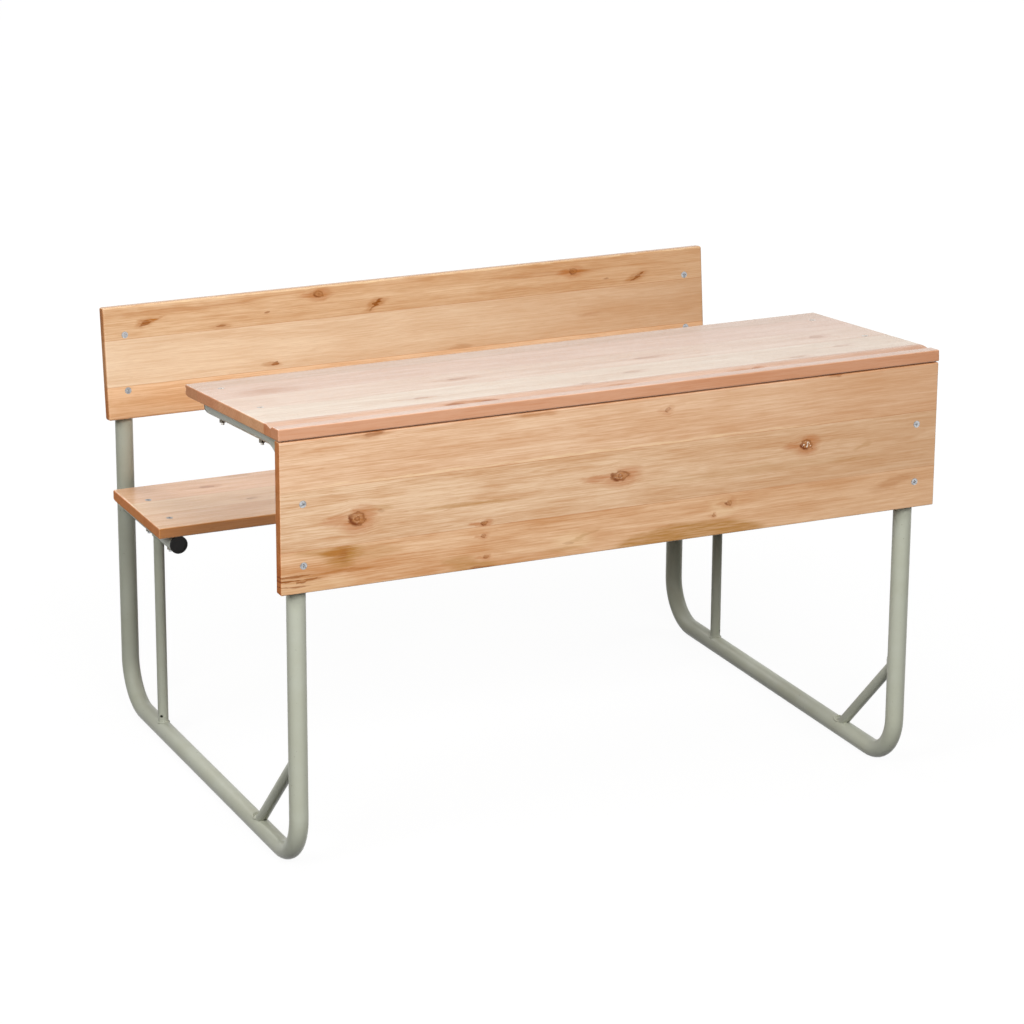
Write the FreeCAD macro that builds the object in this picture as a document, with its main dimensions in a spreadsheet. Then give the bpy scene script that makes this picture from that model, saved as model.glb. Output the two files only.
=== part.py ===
import FreeCAD, Part
import os
from dataclasses import dataclass

import Sketcher

# Double school desk: four edge-glued boards bolted to two welded side frames of bent round tube.
# +X runs along the boards, +Y from the modesty panel towards the backrest, +Z up from the floor.

# Driving sizes, in millimetres and degrees
SIZES = {
    # Desk top: how far it passes the frames' planes, its width across the grain, and its upper front edge
    "top_end_overhang": 40,
    "top_width": 435,
    "top_thickness": 20,
    "top_height": 771,
    "top_slope": 4.9,
    "top_overhang": 1,
    "top_edge_round": 2.5,
    "top_front_bolt_inset": 11,
    "top_rear_bolt_inset": 8,
    # Pencil groove behind the front lip, and the narrow groove in the rear edge
    "lip_width": 25,
    "groove_width": 30,
    "groove_depth": 4.5,
    "edge_groove_width": 6,
    "edge_groove_depth": 5,
    "edge_groove_drop": 5,
    "top_bevel_run": 14,
    "top_bevel_rise": 4,
    # Modesty panel, hung just under the desk top
    "panel_end_overhang": 39,
    "panel_width": 253,
    "panel_thickness": 20,
    "panel_gap": 0.5,
    "panel_edge_round": 2,
    "panel_lower_bolt_inset": 25,
    "panel_upper_bolt_inset": 22,
    # Seat, whose height is that of its upper face
    "seat_end_overhang": 38,
    "seat_width": 250,
    "seat_thickness": 20,
    "seat_height": 432.5,
    "seat_rear_gap": 25.5,
    "seat_edge_round": 3,
    "seat_bevel_run": 14,
    "seat_bevel_rise": 5,
    "seat_front_bolt_inset": 29.5,
    "seat_rear_bolt_inset": 9.5,
    # Backrest, lifted along the leaning part of the upright
    "backrest_end_overhang": 39,
    "backrest_width": 204,
    "backrest_thickness": 20,
    "backrest_lean": 6,
    "backrest_lift": 9.5,
    "backrest_edge_round": 4,
    "backrest_lower_bolt_inset": 8,
    "backrest_upper_bolt_inset": 8,
    # Side frames: spacing of their planes, leg to upright, and the bent tube
    "frame_spacing": 1120,
    "frame_depth": 848,
    "tube_diameter": 32,
    "tube_wall": 1.6,
    "bend_radius": 82,
    "back_bend_height": 545,
    "back_bend_radius": 120,
    "upright_reach": 183,
    "rail_setback": 23,
    "seat_rail_setback": 5.5,
    # Thin tubes welded into each frame
    "strut_diameter": 19,
    "strut_wall": 1.5,
    "strut_setback": 177.5,
    "brace_diameter": 19,
    "brace_wall": 1.5,
    "brace_rise": 189,
    "brace_run": 189,
    "vent_diameter": 5.5,
    "vent_height": 11,
    "vent_turn": 38,
    # Bolts, nuts and the black end plugs
    "bolt_diameter": 6,
    "bolt_head_diameter": 12,
    "bolt_head_height": 3.3,
    "bolt_tip": 4,
    "recess_length": 6.4,
    "recess_width": 1.6,
    "recess_depth": 1.8,
    "nut_width": 10,
    "nut_height": 5,
    "plug_flange": 4,
    "plug_stem": 16,
    "plug_rim": 3,
    "plug_dish": 1.2,
    # Clearances, and the overrun that lets every cut clear its face
    "board_gap": 0.2,
    "weld_gap": 0.1,
    "bolt_clearance": 0.3,
    "thread_clearance": 0.1,
    "nut_gap": 0.5,
    "plug_clearance": 0.2,
    "overrun": 3,
}

# Glue joints across each board, from its front or lower edge, and the low line of the pencil groove
TOP_JOINT_SHARES = (0.146, 0.393, 0.628, 0.864)
PANEL_JOINT_SHARES = (0.28, 0.673)
SEAT_JOINT_SHARES = (0.328, 0.625)
BACKREST_JOINT_SHARES = (0.292, 0.708)
GROOVE_LOW_SHARE = 0.28

SIDES = {"left": -1, "right": 1}


def share_joints(name, shares):
    """Return joint expressions at the given shares of a board's width."""
    return tuple(f"Sizes.{name}_width * {share}" for share in shares)


# Glue joints, and the two bolt rows of each board, set off from the joints of the staves that they hold
GROOVE_LOW = f"(Sizes.lip_width + Sizes.groove_width * {GROOVE_LOW_SHARE})"
TOP_JOINTS = (GROOVE_LOW, *share_joints("top", TOP_JOINT_SHARES))
PANEL_JOINTS = share_joints("panel", PANEL_JOINT_SHARES)
SEAT_JOINTS = share_joints("seat", SEAT_JOINT_SHARES)
BACKREST_JOINTS = share_joints("backrest", BACKREST_JOINT_SHARES)
TOP_ROWS = (
    f"({TOP_JOINTS[2]} + Sizes.top_front_bolt_inset)",
    f"({TOP_JOINTS[4]} - Sizes.top_rear_bolt_inset)",
)
PANEL_ROWS = (
    f"({PANEL_JOINTS[0]} - Sizes.panel_lower_bolt_inset)",
    f"({PANEL_JOINTS[1]} - Sizes.panel_upper_bolt_inset)",
)
SEAT_ROWS = (
    f"({SEAT_JOINTS[0]} - Sizes.seat_front_bolt_inset)",
    f"({SEAT_JOINTS[1]} + Sizes.seat_rear_bolt_inset)",
)
BACKREST_ROWS = (
    f"({BACKREST_JOINTS[0]} - Sizes.backrest_lower_bolt_inset)",
    f"({BACKREST_JOINTS[1]} + Sizes.backrest_upper_bolt_inset)",
)

# Main tube: where it stands along +Y, worked out so that the desk is centred on the origin
TUBE_RADIUS = "(Sizes.tube_diameter / 2)"
LEG_OFFSET = f"(Sizes.top_overhang + Sizes.panel_thickness + Sizes.board_gap + {TUBE_RADIUS})"
UPRIGHT_OFFSET = f"({LEG_OFFSET} + Sizes.frame_depth)"
BACK_RUN = "(Sizes.backrest_lift + Sizes.upright_reach)"
BOLT_TAIL = "(Sizes.nut_gap + Sizes.nut_height + Sizes.bolt_tip)"

# The rearmost point is either the rim of the upright's plug or the tail of the highest backrest bolt
PLUG_RUN = f"({BACK_RUN} + Sizes.plug_flange)"
PLUG_REACH = f"{PLUG_RUN} * sin(Sizes.backrest_lean) + {TUBE_RADIUS} * cos(Sizes.backrest_lean)"
BOLT_RUN = f"(Sizes.backrest_lift + {BACKREST_ROWS[1]} + Sizes.bolt_diameter / 2)"
BOLT_DEPTH = f"({TUBE_RADIUS} + {BOLT_TAIL})"
BOLT_REACH = f"{BOLT_RUN} * sin(Sizes.backrest_lean) + {BOLT_DEPTH} * cos(Sizes.backrest_lean)"
REAR_OFFSET = f"({UPRIGHT_OFFSET} + max({PLUG_REACH}; {BOLT_REACH}))"
FRONT_Y = f"(-{REAR_OFFSET} / 2)"
LEG_Y = f"({FRONT_Y} + {LEG_OFFSET})"
UPRIGHT_Y = f"({FRONT_Y} + {UPRIGHT_OFFSET})"

# Desk top: its upper front edge lies back from its lower one because the board slopes
TOP_Y = f"({FRONT_Y} + Sizes.top_thickness * sin(Sizes.top_slope))"
TOP_DROP = f"(Sizes.top_thickness + Sizes.board_gap + {TUBE_RADIUS})"
RAIL_END = "(Sizes.top_width - Sizes.rail_setback - Sizes.plug_flange)"
RAIL_END_Y = f"({TOP_Y} + {RAIL_END} * cos(Sizes.top_slope) - {TOP_DROP} * sin(Sizes.top_slope))"
RAIL_END_Z = f"(Sizes.top_height - {RAIL_END} * sin(Sizes.top_slope) - {TOP_DROP} * cos(Sizes.top_slope))"
RAIL_CORNER_Z = f"({RAIL_END_Z} + ({RAIL_END_Y} - {LEG_Y}) * tan(Sizes.top_slope))"

# Modesty panel: its top edge clears the sloping underside of the desk top
PANEL_Y = f"({FRONT_Y} + Sizes.top_overhang)"
PANEL_SLOPE_DROP = "(Sizes.top_overhang + Sizes.panel_thickness) * tan(Sizes.top_slope)"
UNDERSIDE_Z = "Sizes.top_height - Sizes.top_thickness * cos(Sizes.top_slope)"
PANEL_Z = f"({UNDERSIDE_Z} - {PANEL_SLOPE_DROP} - Sizes.panel_gap - Sizes.panel_width)"

# Seat, its rail and its strut
SEAT_Y = f"({UPRIGHT_Y} - {TUBE_RADIUS} - Sizes.seat_rear_gap - Sizes.seat_width)"
SEAT_DROP = f"(Sizes.seat_thickness + Sizes.board_gap + {TUBE_RADIUS})"
SEAT_RAIL_START = "(Sizes.seat_rail_setback + Sizes.plug_flange)"
SEAT_RAIL_Y = f"({SEAT_Y} + {SEAT_RAIL_START})"
SEAT_RAIL_Z = f"(Sizes.seat_height - {SEAT_DROP})"
STRUT_Y = f"({UPRIGHT_Y} - Sizes.strut_setback)"

# Backrest: the foot of its front face, offset square from the leaning upright
BACK_DROP = f"(Sizes.backrest_thickness + Sizes.board_gap + {TUBE_RADIUS})"
BACK_LIFT_Y = "Sizes.backrest_lift * sin(Sizes.backrest_lean)"
BACK_LIFT_Z = "Sizes.backrest_lift * cos(Sizes.backrest_lean)"
BACK_Y = f"({UPRIGHT_Y} + {BACK_LIFT_Y} - {BACK_DROP} * cos(Sizes.backrest_lean))"
BACK_Z = f"(Sizes.back_bend_height + {BACK_LIFT_Z} + {BACK_DROP} * sin(Sizes.backrest_lean))"

# Brace: its length, and its toe on the crown of the floor runner
BRACE_LENGTH = "sqrt(Sizes.brace_rise ^ 2 + Sizes.brace_run ^ 2)"
BRACE_TOE_BACK = f"Sizes.brace_run * {TUBE_RADIUS} / Sizes.brace_rise"
BRACE_TOE_SIDE = f"Sizes.brace_diameter / 2 * {BRACE_LENGTH} / Sizes.brace_rise"
BRACE_TOE_Y = f"({LEG_Y} + Sizes.brace_run - {BRACE_TOE_BACK} - {BRACE_TOE_SIDE})"


def place(x="0", y="0", z="0", turn="0"):
    """Return the expression of a placement turned about +X."""
    return f"placement(vector({x}; {y}; {z}); rotation(vector(1; 0; 0); {turn}))"


def side_x(side):
    """Return the expression of one side frame's place along +X."""
    return f"({SIDES[side]} * Sizes.frame_spacing / 2)"


@dataclass(frozen=True)
class Board:
    """One edge-glued board, drawn with its show face at z = 0 and its width along +Y.

    Args:
        name: Prefix of the board's sizes.
        frame: Placement expression of the board.
        staves: Node names of its staves, across the width.
        joints: Expressions of the glue joints between them.
        bolt_rows: Expressions of the two bolt rows' distances from the board's first edge.
    """

    name: str
    frame: str
    staves: tuple
    joints: tuple
    bolt_rows: tuple

    def size(self, part):
        """Return the expression of one of the board's own sizes."""
        return f"Sizes.{self.name}_{part}"

    @property
    def length(self):
        """Length of the board, which overhangs both side frames."""
        return f"(Sizes.frame_spacing + 2 * {self.size('end_overhang')})"

    @property
    def body_name(self):
        """Name of the body that the board is drawn in."""
        return f"{self.name.capitalize()}Board"

    @property
    def tube_far_side(self):
        """Depth of the tube's far side under the show face."""
        return f"({self.size('thickness')} + Sizes.board_gap + Sizes.tube_diameter)"


TOP = Board(
    "top",
    place(y=TOP_Y, z="Sizes.top_height", turn="-Sizes.top_slope"),
    ("top_lip_strip", "top_groove_strip", "top_stave_1", "top_stave_2", "top_stave_3", "top_rear_strip"),
    TOP_JOINTS,
    TOP_ROWS,
)
PANEL = Board(
    "panel",
    place(y=PANEL_Y, z=PANEL_Z, turn="90"),
    ("panel_lower_stave", "panel_middle_stave", "panel_upper_stave"),
    PANEL_JOINTS,
    PANEL_ROWS,
)
SEAT = Board(
    "seat",
    place(y=SEAT_Y, z="Sizes.seat_height"),
    ("seat_front_stave", "seat_middle_stave", "seat_rear_stave"),
    SEAT_JOINTS,
    SEAT_ROWS,
)
BACKREST = Board(
    "backrest",
    place(y=BACK_Y, z=BACK_Z, turn="90 - Sizes.backrest_lean"),
    ("backrest_lower_stave", "backrest_middle_stave", "backrest_upper_stave"),
    BACKREST_JOINTS,
    BACKREST_ROWS,
)
BOARDS = (TOP, PANEL, SEAT, BACKREST)

doc = FreeCAD.newDocument("SchoolDesk")
sheet = doc.addObject("Spreadsheet::Sheet", "Sizes")
for row, (alias, number) in enumerate(SIZES.items(), start=1):
    sheet.set(f"A{row}", alias)
    sheet.set(f"B{row}", str(number))
    sheet.setAlias(f"B{row}", alias)
doc.recompute()

nodes = {}


def value(expression):
    """Return the number that an expression gives with the present sizes."""
    return float(sheet.evalExpression(expression))


def add(kind, name, **expressions):
    """Add an object to the document and bind the named properties to expressions."""
    item = doc.addObject(kind, name)
    for prop, expression in expressions.items():
        item.setExpression(prop, expression)
    return item


def publish(node, item):
    """Give a finished sub-part its label, which also names its file."""
    item.Label = node
    nodes[node] = item


def new_sketch(body, name, role):
    """Return an empty sketch on one of the body's own origin planes."""
    sketch = body.newObject("Sketcher::SketchObject", name)
    plane = next(item for item in body.Origin.OriginFeatures if item.Role == role)
    sketch.AttachmentSupport = [(plane, "")]
    sketch.MapMode = "FlatFace"
    return sketch


def bind(sketch, expression, *constraint):
    """Add a dimensional constraint whose value follows an expression."""
    index = sketch.addConstraint(Sketcher.Constraint(*constraint, value(expression)))
    sketch.setExpression(f"Constraints[{index}]", expression)


def point(corner):
    """Return a sketch point from a pair of expressions."""
    across, up = corner
    return FreeCAD.Vector(value(across), value(up), 0)


def pin_down(sketch, geometry, end, corner):
    """Dimension a point of the sketch from the sketch's origin."""
    across, up = corner
    bind(sketch, across, "DistanceX", -1, 1, geometry, end)
    bind(sketch, up, "DistanceY", -1, 1, geometry, end)


def polygon(body, name, role, corners):
    """Return a sketch of a closed outline through the given corners."""
    sketch = new_sketch(body, name, role)
    count = len(corners)
    for index, corner in enumerate(corners):
        following = corners[(index + 1) % count]
        sketch.addGeometry(Part.LineSegment(point(corner), point(following)), False)
    for index, corner in enumerate(corners):
        sketch.addConstraint(Sketcher.Constraint("Coincident", index, 2, (index + 1) % count, 1))
        pin_down(sketch, index, 1, corner)
    return sketch


def circles(sketch, *diameters):
    """Draw circles about the sketch's origin, each bound to its diameter."""
    centre = FreeCAD.Vector(0, 0, 0)
    for diameter in diameters:
        circle = Part.Circle(centre, FreeCAD.Vector(0, 0, 1), value(diameter) / 2)
        index = sketch.addGeometry(circle, False)
        sketch.addConstraint(Sketcher.Constraint("Coincident", index, 3, -1, 1))
        bind(sketch, diameter, "Diameter", index)


def pad(body, name, sketch, length, side="One side"):
    """Raise a sketch to a solid of the given length."""
    feature = body.newObject("PartDesign::Pad", name)
    feature.Profile = sketch
    feature.SideType = side
    feature.setExpression("Length", length)
    return feature


def pocket_through(body, name, sketch):
    """Cut a sketch through the whole body, both ways from its plane."""
    feature = body.newObject("PartDesign::Pocket", name)
    feature.Profile = sketch
    feature.SideType = "Symmetric"
    feature.Type = "ThroughAll"
    return feature


def links(prefix, original, placements):
    """Return placed copies of one original."""
    copies = []
    for index, placement in enumerate(placements, start=1):
        copy = doc.addObject("App::Link", f"{prefix}{index}")
        copy.LinkedObject = original
        copy.setExpression("Placement", placement)
        copies.append(copy)
    return copies


def compound(name, items):
    """Return a group of separate solids."""
    group = doc.addObject("Part::Compound", name)
    group.Links = items
    return group


def cut(name, base, tools):
    """Return the base with every tool taken out of it."""
    result = doc.addObject("Part::Cut", name)
    result.Base = base
    result.Tool = compound(f"{name}Tools", tools)
    return result


def on_board(board, side, row, depth="0", turn="0"):
    """Return the placement of a piece set on a board over one side frame."""
    return f"{board.body_name}.Placement * {place(side_x(side), row, depth, turn)}"


# Boards: blanks with rounded edges, then the grooves and bevels of the top and the seat


def board_blank(board):
    """Return the body of one board, with all its edges rounded."""
    body = add("PartDesign::Body", board.body_name, Placement=board.frame)
    width = board.size("width")
    back = f"-{board.size('thickness')}"
    section = polygon(body, "Section", "YZ_Plane", [("0", "0"), (width, "0"), (width, back), ("0", back)])
    blank = pad(body, "Blank", section, board.length, "Symmetric")
    doc.recompute()
    rounds = body.newObject("PartDesign::Fillet", "EdgeRounds")
    rounds.Base = (blank, [])
    rounds.UseAllEdges = True
    rounds.setExpression("Radius", board.size("edge_round"))
    doc.recompute()
    return body


def rear_bevel(body, board):
    """Bevel the underside of a board along its rear edge."""
    width = board.size("width")
    back = f"-{board.size('thickness')}"
    run = board.size("bevel_run")
    rise = board.size("bevel_rise")
    # The outline follows the bevel's own slope past both of the faces that it joins
    low = (f"{width} - {run} - Sizes.overrun * {run} / {rise}", f"{back} - Sizes.overrun")
    high = (f"{width} + Sizes.overrun", f"{back} + {rise} + Sizes.overrun * {rise} / {run}")
    corner = (high[0], low[1])
    pocket_through(body, "RearBevel", polygon(body, "BevelOutline", "YZ_Plane", [low, high, corner]))


def top_grooves(body):
    """Cut the pencil groove and the groove in the rear edge of the desk top."""
    far = "(Sizes.lip_width + Sizes.groove_width)"
    low = (GROOVE_LOW, "-Sizes.groove_depth")
    # Both slopes of the pencil groove run on above the face
    steep = f"Sizes.overrun * Sizes.groove_width * {GROOVE_LOW_SHARE} / Sizes.groove_depth"
    gentle = f"Sizes.overrun * ({far} - {GROOVE_LOW}) / Sizes.groove_depth"
    front = (f"Sizes.lip_width - {steep}", "Sizes.overrun")
    rear = (f"{far} + {gentle}", "Sizes.overrun")
    pocket_through(body, "PencilGroove", polygon(body, "GrooveOutline", "YZ_Plane", [front, rear, low]))
    inner = "Sizes.top_width - Sizes.edge_groove_depth"
    outer = "Sizes.top_width + Sizes.overrun"
    upper = "-Sizes.edge_groove_drop"
    lower = "-Sizes.edge_groove_drop - Sizes.edge_groove_width"
    slot = [(inner, upper), (outer, upper), (outer, lower), (inner, lower)]
    pocket_through(body, "EdgeGroove", polygon(body, "EdgeGrooveOutline", "YZ_Plane", slot))


def split_into_staves(board, drilled):
    """Saw a drilled board into its staves along the glue joints."""
    width = board.size("width")
    starts = ("-Sizes.overrun", *board.joints)
    ends = (*board.joints, f"{width} + Sizes.overrun")
    for node, start, end in zip(board.staves, starts, ends):
        corner = place(
            f"-{board.length} / 2 - Sizes.overrun",
            start,
            f"-{board.size('thickness')} - Sizes.overrun",
        )
        slab = add(
            "Part::Box",
            f"Slab_{node}",
            Length=f"{board.length} + 2 * Sizes.overrun",
            Width=f"{end} - ({start})",
            Height=f"{board.size('thickness')} + 2 * Sizes.overrun",
            Placement=f"{board.body_name}.Placement * {corner}",
        )
        stave = doc.addObject("Part::Common", f"Stave_{node}")
        stave.Base = drilled
        stave.Tool = slab
        publish(node, stave)


# Fasteners: one bolt, nut and hole for each board, copied to its four places


def bolt_hole(board):
    """Return the countersunk hole of one bolt, through the board and the tube behind it."""
    name = board.name.capitalize()
    depth = f"({board.tube_far_side} + Sizes.overrun)"
    drill = add(
        "Part::Cylinder",
        f"{name}Drill",
        Radius="Sizes.bolt_diameter / 2 + Sizes.bolt_clearance",
        Height=f"{depth} + Sizes.overrun",
        Placement=place(z=f"-{depth}"),
    )
    sink = add(
        "Part::Cone",
        f"{name}Countersink",
        Radius1="Sizes.bolt_diameter / 2 + Sizes.bolt_clearance",
        Radius2="Sizes.bolt_head_diameter / 2 + Sizes.bolt_clearance",
        Height="Sizes.bolt_head_height",
        Placement=place(z="-Sizes.bolt_head_height"),
    )
    hole = doc.addObject("Part::MultiFuse", f"{name}Hole")
    hole.Shapes = [drill, sink]
    return hole


def bolt(board):
    """Return one countersunk bolt, long enough for the board, the tube and the nut."""
    name = board.name.capitalize()
    length = f"({board.tube_far_side} + {BOLT_TAIL})"
    shank = add(
        "Part::Cylinder",
        f"{name}Shank",
        Radius="Sizes.bolt_diameter / 2",
        Height=f"{length} - Sizes.bolt_head_height",
        Placement=place(z=f"-{length}"),
    )
    head = add(
        "Part::Cone",
        f"{name}Head",
        Radius1="Sizes.bolt_diameter / 2",
        Radius2="Sizes.bolt_head_diameter / 2",
        Height="Sizes.bolt_head_height",
        Placement=place(z="-Sizes.bolt_head_height"),
    )
    blank = doc.addObject("Part::MultiFuse", f"{name}BoltBlank")
    blank.Shapes = [shank, head]
    slots = []
    for mark, length_x, length_y in (
        ("A", "Sizes.recess_length", "Sizes.recess_width"),
        ("B", "Sizes.recess_width", "Sizes.recess_length"),
    ):
        slot = add(
            "Part::Box",
            f"{name}Recess{mark}",
            Length=length_x,
            Width=length_y,
            Height="Sizes.recess_depth + Sizes.overrun",
            Placement=place(f"-{length_x} / 2", f"-{length_y} / 2", "-Sizes.recess_depth"),
        )
        slots.append(slot)
    recess = doc.addObject("Part::MultiFuse", f"{name}Recess")
    recess.Shapes = slots
    return cut(f"{name}Bolt", blank, [recess])


def hexagon_nut():
    """Return one hexagon nut, with its seat at z = 0 and its body below."""
    body = doc.addObject("PartDesign::Body", "Nut")
    half = "(Sizes.nut_width / 2)"
    corner = "(Sizes.nut_width / sqrt(3))"
    corners = [
        (corner, "0"),
        (f"{corner} / 2", half),
        (f"-{corner} / 2", half),
        (f"-{corner}", "0"),
        (f"-{corner} / 2", f"-{half}"),
        (f"{corner} / 2", f"-{half}"),
    ]
    outline = polygon(body, "Hexagon", "XY_Plane", corners)
    blank = pad(body, "NutBlank", outline, "Sizes.nut_height")
    blank.Reversed = True
    doc.recompute()
    bore = new_sketch(body, "Bore", "XY_Plane")
    circles(bore, "Sizes.bolt_diameter + 2 * Sizes.thread_clearance")
    pocket_through(body, "NutBore", bore)
    doc.recompute()
    return body


def fasten(board, nut):
    """Place a board's bolts and nuts, and return its holes by side."""
    name = board.name.capitalize()
    bolts = []
    nuts = []
    holes = {}
    original_bolt = bolt(board)
    original_hole = bolt_hole(board)
    seat_depth = f"-({board.tube_far_side} + Sizes.nut_gap)"
    for side in SIDES:
        heads = [on_board(board, side, row) for row in board.bolt_rows]
        seats = [on_board(board, side, row, seat_depth) for row in board.bolt_rows]
        mark = f"{name}{side.capitalize()}"
        bolts += links(f"{mark}Bolt", original_bolt, heads)
        nuts += links(f"{mark}Nut", nut, seats)
        holes[side] = links(f"{mark}Hole", original_hole, heads)
    publish(f"{board.name}_bolts", compound(f"{name}Bolts", bolts))
    publish(f"{board.name}_nuts", compound(f"{name}Nuts", nuts))
    return holes


# Side frames: the bent main tube and the straight tubes welded to it


def rounded_line(sketch, corners, radii):
    """Draw a line through the corners, bent at each inner one.

    Args:
        sketch: Sketch to draw in.
        corners: Pairs of expressions, from one end of the line to the other.
        radii: Expressions of the bend radii, one for each inner corner.

    Returns:
        Number of edges drawn, straight runs and bends together.
    """
    points = [point(corner) for corner in corners]
    ends = [points[0]]
    arcs = []
    for before, here, after, radius in zip(points, points[1:], points[2:], radii):
        back = (before - here).normalize()
        ahead = (after - here).normalize()
        inward = (back + ahead).normalize()
        bend = value(radius)
        # Distance from the corner to the bend's centre, and from there back to the arc
        centre_distance = bend / (here + inward).distanceToLine(here, back)
        apex = here + inward * (centre_distance - bend)
        run = centre_distance * (back * inward)
        start = here + back * run
        end = here + ahead * run
        arcs.append((start, apex, end))
        ends += [start, end]
    ends.append(points[-1])
    for index, (start, end) in enumerate(zip(ends[::2], ends[1::2])):
        sketch.addGeometry(Part.LineSegment(start, end), False)
        if index < len(arcs):
            sketch.addGeometry(Part.Arc(*arcs[index]), False)
    for index, (start, _, _) in enumerate(arcs):
        line = 2 * index
        arc = line + 1
        # An arc may be stored from either end, so its near end is the one on the first line
        near = min((1, 2), key=lambda place_on_arc: sketch.getPoint(arc, place_on_arc).distanceToPoint(start))
        sketch.addConstraint(Sketcher.Constraint("Tangent", line, 2, arc, near))
        sketch.addConstraint(Sketcher.Constraint("Tangent", arc, 3 - near, line + 2, 1))
        bind(sketch, radii[index], "Radius", arc)
        corner = sketch.addGeometry(Part.Point(points[index + 1]), True)
        sketch.addConstraint(Sketcher.Constraint("PointOnObject", corner, 1, line))
        sketch.addConstraint(Sketcher.Constraint("PointOnObject", corner, 1, line + 2))
        pin_down(sketch, corner, 1, corners[index + 1])
    pin_down(sketch, 0, 1, corners[0])
    pin_down(sketch, 2 * len(arcs), 2, corners[-1])
    return 2 * len(arcs) + 1


def main_tube(side):
    """Return the bent tube of one frame: desk rail, leg, floor runner and rear upright."""
    body = add("PartDesign::Body", f"MainTube{side.capitalize()}", Placement=place(side_x(side)))
    path = new_sketch(body, "CentreLine", "YZ_Plane")
    corners = [
        (RAIL_END_Y, RAIL_END_Z),
        (LEG_Y, RAIL_CORNER_Z),
        (LEG_Y, TUBE_RADIUS),
        (UPRIGHT_Y, TUBE_RADIUS),
        (UPRIGHT_Y, "Sizes.back_bend_height"),
        (
            f"{UPRIGHT_Y} + {BACK_RUN} * sin(Sizes.backrest_lean)",
            f"Sizes.back_bend_height + {BACK_RUN} * cos(Sizes.backrest_lean)",
        ),
    ]
    radii = ["Sizes.bend_radius"] * 3 + ["Sizes.back_bend_radius"]
    edges = rounded_line(path, corners, radii)
    doc.recompute()
    ring = body.newObject("Sketcher::SketchObject", "TubeSection")
    ring.AttachmentSupport = [(path, "Edge1"), (path, "Vertex1")]
    ring.MapMode = "NormalToEdge"
    circles(ring, "Sizes.tube_diameter", "Sizes.tube_diameter - 2 * Sizes.tube_wall")
    doc.recompute()
    pipe = body.newObject("PartDesign::AdditivePipe", "BentTube")
    pipe.Profile = ring
    pipe.Spine = (path, [f"Edge{index}" for index in range(1, edges + 1)])
    doc.recompute()
    return body


def straight_tube(name, prefix, length, placement):
    """Return a straight tube that starts at its placement and runs along its own +Z."""
    body = add("PartDesign::Body", name, Placement=placement)
    ring = new_sketch(body, "TubeSection", "XY_Plane")
    outside = f"Sizes.{prefix}_diameter"
    circles(ring, outside, f"{outside} - 2 * Sizes.{prefix}_wall")
    pad(body, "TubeWall", ring, length)
    doc.recompute()
    return body


def cope(name, length, placement):
    """Return the round tool that shapes a tube's end to the main tube."""
    return add(
        "Part::Cylinder",
        name,
        Radius=f"{TUBE_RADIUS} + Sizes.weld_gap",
        Height=length,
        Placement=placement,
    )


def vent(name, prefix, placement):
    """Return the drill for a vent hole, starting inside a thin tube."""
    return add(
        "Part::Cylinder",
        name,
        Radius="Sizes.vent_diameter / 2",
        Height=f"Sizes.{prefix}_diameter",
        Placement=placement,
    )


def side_frame(side, holes):
    """Build the four tubes of one frame, drilled for the bolts that pass through them."""
    x = side_x(side)
    mark = side.capitalize()
    bent = main_tube(side)
    through = holes["top"][side] + holes["panel"][side] + holes["backrest"][side]
    publish(f"{side}_main_tube", cut(f"MainTube{mark}Drilled", bent, through))

    # Copes along the straight runs of the main tube and of the seat rail
    rail_length = f"{UPRIGHT_Y} - {SEAT_RAIL_Y}"
    rail_start = place(x, SEAT_RAIL_Y, SEAT_RAIL_Z, "-90")
    runner = cope(f"RunnerCope{mark}", "Sizes.frame_depth", place(x, LEG_Y, TUBE_RADIUS, "-90"))
    leg = cope(f"LegCope{mark}", "Sizes.brace_rise + Sizes.brace_diameter", place(x, LEG_Y, TUBE_RADIUS))
    upright = cope(f"UprightCope{mark}", "Sizes.seat_height", place(x, UPRIGHT_Y))
    under_seat = cope(f"RailCope{mark}", rail_length, rail_start)

    rail = straight_tube(f"SeatRail{mark}", "tube", rail_length, rail_start)
    publish(f"{side}_seat_rail", cut(f"SeatRail{mark}Coped", rail, [upright, *holes["seat"][side]]))

    strut_length = f"{SEAT_RAIL_Z} - {TUBE_RADIUS}"
    strut = straight_tube(f"Strut{mark}", "strut", strut_length, place(x, STRUT_Y, TUBE_RADIUS))
    foot = place(x, STRUT_Y, "Sizes.tube_diameter + Sizes.vent_height")
    outward = f"placement(vector(0; 0; 0); rotation(vector(0; 0; 1); {SIDES[side]} * Sizes.vent_turn))"
    low_vent = vent(f"StrutLowVent{mark}", "strut", f"{foot} * {outward} * {place(turn='90')}")
    crown_z = f"{SEAT_RAIL_Z} - {TUBE_RADIUS} - Sizes.vent_diameter / 2"
    high_vent = vent(f"StrutHighVent{mark}", "strut", place(x, STRUT_Y, crown_z, "90"))
    publish(f"{side}_seat_strut", cut(f"Strut{mark}Coped", strut, [runner, under_seat, low_vent, high_vent]))

    tilt = "atan(Sizes.brace_run / Sizes.brace_rise)"
    brace_foot = place(x, f"{LEG_Y} + Sizes.brace_run", TUBE_RADIUS, tilt)
    brace = straight_tube(f"Brace{mark}", "brace", BRACE_LENGTH, brace_foot)
    toe_z = "Sizes.tube_diameter + Sizes.vent_diameter / 2"
    toe = place(x, f"{BRACE_TOE_Y} + Sizes.vent_diameter", toe_z, "90")
    toe_vent = vent(f"BraceVent{mark}", "brace", toe)
    publish(f"{side}_brace", cut(f"Brace{mark}Coped", brace, [runner, leg, toe_vent]))


# End plugs: a dished flange on the tube's end and a stem inside it


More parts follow.
